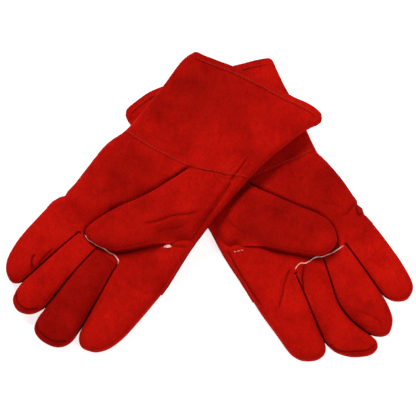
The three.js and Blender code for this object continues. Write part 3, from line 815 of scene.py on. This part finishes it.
def shell(name, skins, tris, material, thickness, proud=0.0, bulge=0.0):
    """A panel of real thickness over some of a skin's triangles, with square edges or ones that bulge."""
    used, index = np.unique(tris, return_inverse=True)
    faces = index.reshape(-1, 3)
    normals = skins.normals[used]
    outside = skins.points[used] + normals * proud * MM
    inner = outside - normals * thickness * MM
    n = len(used)
    rim = open_edges(faces)
    points, directions = [outside, inner], [normals, -normals]
    groove_shade, tone = [skins.groove_shade[used]] * 2, [skins.tone[used]] * 2
    if bulge:
        across = np.cross(outside[rim[:, 1]] - outside[rim[:, 0]], normals[rim[:, 0]])
        outward = np.zeros((n, 3))
        for k in range(2):
            np.add.at(outward, rim[:, k], across)
        outward /= np.maximum(np.linalg.norm(outward, axis=1)[:, None], 1e-12)
        points.append((outside + inner) / 2 + outward * bulge * MM)
        groove_shade.append(skins.groove_shade[used])
        tone.append(skins.tone[used])
        walls = [(b, a, a + 2 * n, b + 2 * n) for a, b in rim]
        walls += [(b + 2 * n, a + 2 * n, a + n, b + n) for a, b in rim]
    else:
        walls = [(b, a, a + n, b + n) for a, b in rim]
    faces = faces.tolist() + (faces[:, ::-1] + n).tolist() + walls
    smooth_normals = None if bulge else np.vstack(directions)
    groove_shade, tone = np.concatenate(groove_shade), np.concatenate(tone)
    return make_object(name, np.vstack(points), faces, material, smooth_normals, groove_shade, tone)


def tube(path, radii, sides=8):
    """Vertices and faces of a round tube along a path of world points, closed at both ends."""
    path = np.asarray(path, float)
    along = np.gradient(path, axis=0)
    along /= np.linalg.norm(along, axis=1)[:, None]
    side = np.cross(along, (0, 0, 1))
    side /= np.linalg.norm(side, axis=1)[:, None]
    up = np.cross(side, along)
    vertices, faces = [], []
    for i, radius in enumerate(radii):
        for k in range(sides):
            angle = 2 * math.pi * k / sides
            vertices.append(path[i] + radius * (math.cos(angle) * side[i] + math.sin(angle) * up[i]))
    for i in range(len(path) - 1):
        for k in range(sides):
            a, b = i * sides + k, i * sides + (k + 1) % sides
            faces.append((b, a, a + sides, b + sides))
    faces.append(tuple(range(sides)))
    faces.append(tuple(len(vertices) - 1 - k for k in range(sides)))
    return vertices, faces


def merged(parts):
    """One list of vertices and one of faces from several."""
    vertices, faces = [], []
    for some_vertices, some_faces in parts:
        faces += [tuple(i + len(vertices) for i in face) for face in some_faces]
        vertices += list(some_vertices)
    return vertices, faces


def attach(glove, piece, body):
    """Lets a piece ride on the hand's body if that is its body; any other piece keeps its place, its
    transform baked into its mesh.
    """
    side = glove["side"]
    hand = f"{side}_hand"
    if body == hand:
        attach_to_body(piece, hand)
        return
    if body == f"{side}_cuff":
        ends = CUFF_BEND
    elif body == f"{side}_thumb":
        ends = [[*(THUMB_ROOT + THUMB_ALONG * place), THUMB_BEND_HEIGHT] for place in THUMB_BEND]
    else:
        ends = [[0, KNUCKLE + place, FINGER_BEND_HEIGHT] for place in (0, FINGER_BEND)]
    start, end = to_world(glove, np.array(ends, float))
    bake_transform(piece)


def finish_piece(glove, piece, body, slot, *nodes):
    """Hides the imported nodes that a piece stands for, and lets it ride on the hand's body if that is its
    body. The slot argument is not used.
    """
    if nodes:
        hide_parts(*(f"{glove['side']}_{node}" for node in nodes))
    attach(glove, piece, body)


def stitches(name, skins, lines, body, material=RED_THREAD, proud=0.0, both=True):
    """Rows of stitches laid on the skins along lines of [u, v] points."""
    parts = []
    for line in lines:
        dots = spline(line, STITCH_PITCH / 2)
        for above in (True, False) if both else (True,):
            hits = skins.cast(dots, above)
            for i in range(1, len(hits) - 1, 2):
                if hits[i - 1] and hits[i] and hits[i + 1]:
                    parts.append(stitch(hits[i - 1][0], hits[i + 1][0], *hits[i], proud))
    vertices, faces = merged(parts)
    piece = make_object(name, vertices, faces, material)
    finish_piece(skins.glove, piece, body, "red_leather")


def stitch(before, after, centre, normal, proud):
    """One stitch: a short thread that comes up out of the leather and goes down again."""
    along = (after - before) / np.linalg.norm(after - before)
    path, radii = [], []
    for place, height, radius in STITCH_SHAPE:
        rise = proud + height * STITCH_RADIUS
        path.append(centre + (along * place * STITCH_LENGTH / 2 + normal * rise) * MM)
        radii.append(radius * STITCH_RADIUS * MM)
    return tube(path, radii, 6)


# ---------------------------------------------------------------- the glove


HAND, CUFF, LITTLE, RING, MIDDLE, INDEX, HEM = range(7)
FINGERS = {LITTLE: "little", RING: "ring", MIDDLE: "middle", INDEX: "index"}


def crown(uv):
    """Height of the top skin where it is full."""
    height = np.full(len(uv), PALM_TOP)
    for change, start, end in CROWN_CHANGES:
        height += change * smooth(start, end, uv[:, 1])
    return height


def rim_height(uv):
    """Height of the edge: up between the roots of the fingers, where their seams are shallow."""
    u, v = uv.T
    between = smooth(*ROOTS_LEFT, u) * (1 - smooth(*ROOTS_RIGHT, u))
    return SEAM + ROOT_RISE * between * (1 - smooth(*ROOTS_HIGH, v)) * smooth(*ROOTS_LOW, v)


def regions(glove, middle, mouth):
    """Which panel each triangle belongs to."""
    region = np.full(len(middle), HAND)
    seam = spline(glove["cuff_seam"], SPACING)
    region[middle[:, 1] < np.interp(middle[:, 0], seam[:, 0], seam[:, 1])] = CUFF
    region[distance_to(middle, mouth)[0] < HEM_WIDTH] = HEM
    finger = middle[:, 1] > KNUCKLE
    runs = glove["runs"]
    order = np.zeros(len(middle), int)
    for number, name in FINGERS.items():
        ring = spline(runs[name], SPACING)
        order[inside(middle, ring[ring[:, 1] > -ROOT_SLACK])] = number
    names = list(FINGERS.values())
    crotches = [(runs[a][-1][0] + runs[b][0][0]) / 2 for a, b in zip(names, names[1:])]
    loose = finger & (order == 0)
    order[loose] = LITTLE + np.searchsorted(crotches, middle[loose, 0])
    region[finger] = order[finger]
    return region


def hem_line(glove):
    """The inner edge of the hem."""
    mouth = spline(glove["runs"]["hem"], SPACING)
    normal = sideways(mouth)
    if not inside(mouth + normal, np.vstack([np.array(r) for r in glove["runs"].values()]))[5]:
        normal = -normal
    return mouth + normal * HEM_WIDTH


def by_region(hand, cuff, finger):
    """A value for the hand, the cuff and each finger, whose name goes where finger says {}."""
    return {HAND: hand, CUFF: cuff, **{key: finger.format(name) for key, name in FINGERS.items()}}


def build_hand(glove):
    """The palm, back, finger, cuff and hem panels, with their linings, welts and stitches."""
    side = glove["side"]
    seam = spline(glove["cuff_seam"], SPACING)
    knuckles = spline([(-OUTSIDE, KNUCKLE), (OUTSIDE, KNUCKLE)], SPACING)
    hem = hem_line(glove)
    creases = [
        *glove["creases"],
        ("fine", 0.8, 1.0, glove["cuff_seam"]),
        ("fine", 0.7, 0.9, hem[2:-2:3]),
        # Painted contact shadow: a dark line on the palm along the thumb's free edge
        ("wrinkle", 1.9, 1.8, around_thumb(glove)),
    ]
    sheet = Sheet(glove["runs"], "hem", creases, [seam, knuckles, hem])
    uv = sheet.uv
    region = regions(glove, uv[sheet.tris].mean(1), sheet.mouth)
    slit = sheet.slit_at()
    count = len(sheet.ring)
    uv[:count] -= sheet.inward * SLIT_CLOSE * slit[:count, None]
    full = swell(sheet.fill)
    wave = waves(glove, uv, HAND_WAVES)
    pressed, groove_shade = press(uv, creases)
    rim = rim_height(uv)
    covered = under_thumb(glove, uv)
    swollen = (crown(uv) - rim) * full + (wave * (1 - covered) + pressed) * full
    top = rim + swollen - THUMB_DENT * covered
    at_mouth = 1 - smooth(HEM_WIDTH, 2 * HEM_WIDTH, distance_to(uv, sheet.mouth)[0])
    bottom = rim * (1 - full) + MOUTH_CLEAR * at_mouth * full
    bottom += SEAM_DENT * np.exp(-((distance_to(uv, seam)[0] / HEM_WIDTH) ** 2)) * full
    # Painted shade along the slits between the fingers
    slit_shade = np.exp(-((sheet.edge_gap / SLIT_WIDTH) ** 2)) * slit
    skins = Skins(glove, sheet, top, bottom, np.maximum(groove_shade, SLIT_DARK * slit_shade))
    hand, cuff = f"{side}_hand", "left_cuff" if side == "left" else "right_hand"
    bodies = by_region(hand, cuff, side + "_{}")
    fronts = by_region("palm_panel", "cuff_front", "{}_front")
    backs = by_region("back_panel", "cuff_back", "{}_back")
    for tris, labels in ((skins.upper, fronts), (skins.lower, backs)):
        for key, label in labels.items():
            # The fronts of the deep fingers get painted shade: the shaded copy of the red suede
            material = SHADED_RED if FINGERS.get(key) in glove["deep"] and labels is fronts else RED
            piece = shell(f"{side}_{label}_skin", skins, tris[region == key], material, LEATHER)
            finish_piece(glove, piece, bodies[key], "red_leather", label)
    build_hem(glove, skins, region, cuff)
    build_linings(glove, skins, region, bodies)
    build_welts(glove, skins, hand)
    seam_row = np.array(glove["cuff_seam"]) + (0, -SEAM_TO_STITCHES)
    stitches(f"{side}_cuff_seam_stitches", skins, [seam_row], cuff)
    return skins


def around_thumb(glove):
    """The line along which the thumb's free edge sinks into the palm, and which carries a painted contact
    shadow.
    """
    free, sewn = glove["thumb"]["free"], glove["thumb"]["sewn"]
    line = spline([sewn[-2], *free, sewn[1]], 6)
    outward = sideways(line)
    if inside(line + outward, np.array(free + sewn)).mean() > 0.5:
        outward = -outward
    return line + outward * THUMB_GAP


def under_thumb(glove, uv):
    """1 where the thumb lies on the palm and holds it down, and 0 clear of it."""
    ring = np.vstack([spline(run, THUMB_STEP)[:-1] for run in glove["thumb"].values()])
    gap = distance_to(uv, np.vstack([ring, ring[:1]]))[0]
    return np.where(inside(uv, ring), smooth(*DENT_INNER, gap), 1 - smooth(*DENT_OUTER, gap))


def build_hem(glove, skins, region, body):
    """The folded edge of the cuff's mouth, and the stitches that hold it."""
    side = glove["side"]
    tris = np.vstack([skins.upper[region == HEM], skins.lower[region == HEM]])
    # The hem fold gets the lit copy of the red suede, a painted highlight
    hem = shell(f"{side}_cuff_hem_fold", skins, tris, LIT_HEM_RED, HEM_THICK, HEM_PROUD, HEM_THICK * 0.35)
    finish_piece(glove, hem, body, "cuff_hem", "cuff_hem")
    mouth = hem_line(glove)
    row = mouth + (spline(glove["runs"]["hem"], SPACING) - mouth) * 0.25
    stitches(f"{side}_hem_stitches", skins, [row[3:-3:2]], body, proud=HEM_PROUD)


def build_linings(glove, skins, region, bodies):
    """Cotton inside the leather: the skins' own shape pushed in, and closed along the sides."""
    side, sheet = glove["side"], skins.sheet
    gap = sheet.edge_gap[sheet.tris].min(1)
    to_mouth = distance_to(sheet.uv[sheet.tris].mean(1), sheet.mouth)[0]
    inner = (gap > LINING_EDGE) & (to_mouth > LINING_END)
    owner = np.where(region == HEM, CUFF, region)
    for key, label in by_region("hand_lining", "cuff_lining", "{}_lining").items():
        points, faces, used = lining_shell(skins, inner, inner & (owner == key))
        piece = make_object(f"{side}_{label}_fleece", points, faces, COTTON)
        v = np.tile(sheet.uv[:, 1], 2)[used]
        thicken(piece, LINING_KEEP, within(v, FINE_FINGER) | within(v, FINE_CUFF))
        finish_piece(glove, piece, bodies[key], "cotton_lining", label)


def within(values, ends):
    """Which values lie between the two ends."""
    return (values > ends[0]) & (values < ends[1])


def lining_shell(skins, inner, mine):
    """The lining's top and bottom over my triangles, joined by walls along the closed sides.

    The third result is which of the skins' points it uses.
    """
    points = skins.points - skins.normals * LINING_ROOM * MM
    upper, lower = skins.upper[mine], skins.lower[mine]
    every = {tuple(e) for e in open_edges(skins.upper[inner]).tolist()}
    to_mouth = distance_to(skins.sheet.uv, skins.sheet.mouth)[0]
    walls = []
    for a, b in open_edges(upper).tolist():
        if (a, b) in every and to_mouth[a] > LINING_OPEN and skins.under[a] != a and skins.under[b] != b:
            walls.append((b, a, int(skins.under[a]), int(skins.under[b])))
    faces = upper.tolist() + lower.tolist() + [list(w) for w in walls]
    used = sorted({i for face in faces for i in face})
    index = {old: new for new, old in enumerate(used)}
    return points[used], [[index[i] for i in face] for face in faces], used


def thicken(piece, keep, bends):
    """Thickens a hidden sheet inwards, and keeps only a share of its faces away from the places that keep a
    fine mesh.
    """
    flat = piece.vertex_groups.new(name="flat")
    flat.add(np.flatnonzero(~bends).tolist(), 1.0, "REPLACE")
    thin = piece.modifiers.new("thin", "DECIMATE")
    thin.ratio = bends.mean() + keep * (1 - bends.mean())
    thin.vertex_group = flat.name
    solid = piece.modifiers.new("solid", "SOLIDIFY")
    solid.thickness = LINING_THICK * MM
    solid.offset = -1
    graph = bpy.context.evaluated_depsgraph_get()
    mesh = bpy.data.meshes.new_from_object(piece.evaluated_get(graph))
    piece.modifiers.clear()
    piece.vertex_groups.clear()
    piece.data = mesh


def build_welts(glove, skins, hand):
    """The strips sewn into the side seams of the hand, and the undyed one across the finger roots."""
    side = glove["side"]
    low = glove["cuff_seam"][0][1], glove["cuff_seam"][-1][1]
    for label, run, floor in (("little", "little", low[0]), ("thumb", "index", low[1])):
        line = spline(glove["runs"][run], SPACING)
        side_seam = within(line[:, 1], (floor + WELT_INSET, KNUCKLE - WELT_INSET))
        line = line[side_seam & (np.abs(line[:, 0]) > HAND_SIDE)]
        path = to_world(glove, np.column_stack([line, SEAM + lift_at(glove, line)]))
        radii = (WELT_RADIUS + WELT_LUMPS * lumps(line, 6, 40)) * MM
        piece = make_object(f"{side}_side_welt_{label}_strip", *tube(path, radii), WELT_RED)
        finish_piece(glove, piece, hand, "side_welt", f"side_welt_{label}")
    line = spline(glove["welt"], 1.2)
    line += np.column_stack([lumps(line, 5, 50), lumps(line, 5, 60)]) * 0.5
    hits = [h for h in skins.cast(line, True) if h]
    path = [place + normal * 0.3 * MM for place, normal in hits]
    ends = np.minimum(1, np.minimum(np.arange(len(path)), np.arange(len(path))[::-1]) / 4 + 0.3)
    radii = ends * (PALE_RADIUS + PALE_LUMPS * lumps(line[: len(path)], 4, 70)) * MM
    piece = make_object(f"{side}_finger_welt_strip", *tube(path, radii), PALE)
    finish_piece(glove, piece, hand, "pale_welt", "finger_welt")


# ---------------------------------------------------------------- the thumb


def build_thumb(glove):
    """The thumb's front, back, wing and lining: a tube that grows out of the palm towards its tip."""
    side = glove["side"]
    across = np.array([THUMB_ALONG[1], -THUMB_ALONG[0]])
    hinge = [THUMB_ROOT + THUMB_ALONG * THUMB_HINGE + across * q for q in (-THUMB_OUTSIDE, THUMB_OUTSIDE)]
    creases = glove["thumb_creases"]
    sheet = Sheet(glove["thumb"], "sewn", creases, [spline(hinge, SPACING)], reach=THUMB_REACH)
    uv = sheet.uv
    reach = (uv - THUMB_ROOT) @ THUMB_ALONG
    full = swell(sheet.fill)
    wave = waves(glove, uv, THUMB_WAVES)
    pressed, groove_shade = press(uv, creases)
    away = distance_to(uv, sheet.mouth)[0]
    grow = smooth(*THUMB_GROWS, reach) * smooth(*THUMB_GROWS_OFF, away)
    low = THUMB_FLOOR + grow * THUMB_EDGE_RISE
    # Along the side seam of the hand the wing goes down to the seam
    outer = smooth(*WING_OUTER, uv[:, 0])
    drop = (THUMB_FLOOR - SEAM - WING_PROUD) * (1 - smooth(*WING_DROP, away)) ** 2 * outer
    edge = low - drop
    top = edge + grow * (THUMB_TOP_RISE - THUMB_EDGE_RISE) * full
    top += (wave + pressed) * full * smooth(*THUMB_CALM, away)
    top = np.where(sheet.pinned, edge, np.maximum(top, edge + THUMB_THIN))
    bottom = edge - THUMB_UNDER - grow * (THUMB_EDGE_RISE - THUMB_LOW_RISE) * full
    bottom = np.where(sheet.pinned, edge, bottom)
    skins = Skins(glove, sheet, top, bottom, groove_shade)
    wing = reach[sheet.tris].mean(1) < THUMB_HINGE
    body = f"{side}_thumb"
    for label, tris in (("thumb_front", skins.upper[~wing]), ("thumb_wing", skins.upper[wing]),
                        ("thumb_back", skins.lower)):
        piece = shell(f"{side}_{label}_skin", skins, tris, RED, THUMB_LEATHER)
        finish_piece(glove, piece, body, "red_leather", label)
    thick = (top - bottom)[sheet.tris].min(1) > THUMB_HOLLOW
    inner = thick & (sheet.edge_gap[sheet.tris].min(1) > LINING_EDGE)
    points, faces, used = lining_shell(skins, inner, inner)
    lining = make_object(f"{side}_thumb_lining_fleece", points, faces, COTTON)
    along = np.tile(reach, 2)[used]
    thicken(lining, THUMB_LINING_KEEP, within(along, FINE_THUMB))
    finish_piece(glove, lining, body, "cotton_lining", "thumb_lining")


def build_tuft(glove, skins):
    """Fleece that sticks out of the seam beside the thumb."""
    parts = []
    line = spline(glove["tuft"], 1.0)
    for k in range(TUFT_STRANDS):
        swing = np.array([math.sin(2.4 * k), math.cos(1.7 * k)]) * TUFT_SPREAD
        strand = line[k % 3 : len(line) - k % 2] + swing
        hits = [h for h in skins.cast(strand, True) if h]
        rise = 0.5 + 0.35 * (k % 4)
        path = [place + np.array([0, 0, (rise + TUFT_WAVE * math.sin(1.3 * i + k)) * MM])
                for i, (place, _) in enumerate(hits)]
        ends = np.sin(np.linspace(0.25, math.pi - 0.25, len(path)))
        parts.append(tube(path, (TUFT_RADIUS + TUFT_RADIUS * ends) * MM, 6))
    piece = make_object(f"{glove['side']}_lining_tuft", *merged(parts), PALE)
    finish_piece(glove, piece, f"{glove['side']}_hand", "cotton_lining")


# ---------------------------------------------------------------- stage


def build_floor():
    """A pale floor that glows a little, so that it stays even."""
    size = FLOOR_SIZE
    corners = [(-size, -size, 0), (size, -size, 0), (size, size, 0), (-size, size, 0)]
    mesh = bpy.data.meshes.new("floor")
    mesh.from_pydata(corners, [], [(0, 1, 2, 3)])
    material, _, shader = new_material("floor")
    shader.inputs["Base Color"].default_value = (*grey(FLOOR_GREY), 1)
    shader.inputs["Roughness"].default_value = 0.9
    shader.inputs["Emission Color"].default_value = (1, 1, 1, 1)
    shader.inputs["Emission Strength"].default_value = FLOOR_GLOW
    mesh.materials.append(material)
    floor = bpy.data.objects.new("floor", mesh)
    bpy.context.scene.collection.objects.link(floor)


def build_light():
    """Soft light from all round, and two large lamps."""
    world = bpy.data.worlds.new("studio")
    world.use_nodes = True
    background = world.node_tree.nodes["Background"]
    background.inputs["Color"].default_value = (1, 1, 1, 1)
    background.inputs["Strength"].default_value = WORLD_LIGHT
    bpy.context.scene.world = world
    for name, place, power, width in LIGHTS:
        light = bpy.data.lights.new(name, "AREA")
        light.energy, light.size = power, width
        lamp = bpy.data.objects.new(name, light)
        lamp.location = place
        lamp.rotation_euler = (-Vector(place)).to_track_quat("-Z", "Y").to_euler()
        bpy.context.scene.collection.objects.link(lamp)


def build_camera():
    """The camera, which looks down at the gloves from in front."""
    elevation = math.radians(CAMERA_ELEVATION)
    camera = bpy.data.cameras.new("camera")
    camera.sensor_width = SENSOR
    camera.lens = SENSOR * CAMERA_AWAY / VIEW_WIDTH
    eye = bpy.data.objects.new("camera", camera)
    away = Vector((0, -math.cos(elevation), math.sin(elevation)))
    eye.location = Vector(CAMERA_AIM) * MM + away * CAMERA_AWAY * MM
    eye.rotation_euler = (math.pi / 2 - elevation, 0, 0)
    bpy.context.scene.collection.objects.link(eye)
    bpy.context.scene.camera = eye


build_camera()
build_floor()
build_light()
bpy.context.scene.view_settings.view_transform = "Standard"
for one in (LEFT, RIGHT):
    hand_skins = build_hand(one)
    build_thumb(one)
    if one["tuft"]:
        build_tuft(one, hand_skins)
    if one["crotch_stitches"]:
        stitches(f"{one['side']}_crotch_stitches", hand_skins, [one["crotch_stitches"]],
                 f"{one['side']}_hand", PALE_THREAD, both=False)
